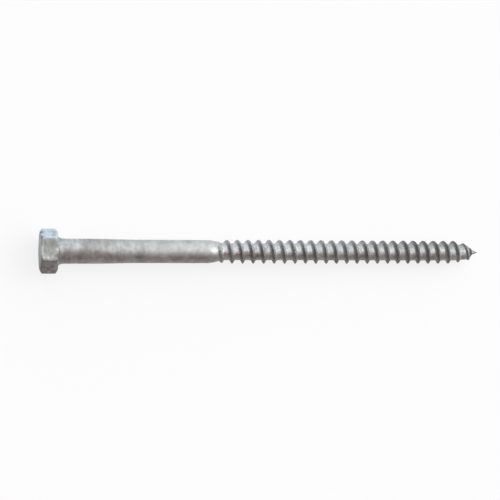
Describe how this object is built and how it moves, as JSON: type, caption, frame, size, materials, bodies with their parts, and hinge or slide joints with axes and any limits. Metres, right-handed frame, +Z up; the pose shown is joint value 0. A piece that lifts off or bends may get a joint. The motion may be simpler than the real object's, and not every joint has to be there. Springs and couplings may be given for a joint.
{
  "type": "lag screw",
  "caption": "Hexagon-head galvanised wood screw with a plain shank, coarse thread and gimlet point, lying on its side.",
  "frame": {"origin": "on the surface it lies on, under the middle of its box", "axes": "+X from the head to the tip along the screw, +Y to one corner of the head, +Z up; the axis slopes down about one degree towards the tip, because the screw rests on a flat of its head and on its thread"},
  "size_m": [0.1872, 0.0184, 0.0161],
  "materials": {
    "galvanised_steel": "hot-dip zinc, dull and mottled, a little rust in the first turns of the thread"
  },
  "bodies": {
    "root": {"lag_screw": "galvanised_steel"}
  },
  "joints": []
}
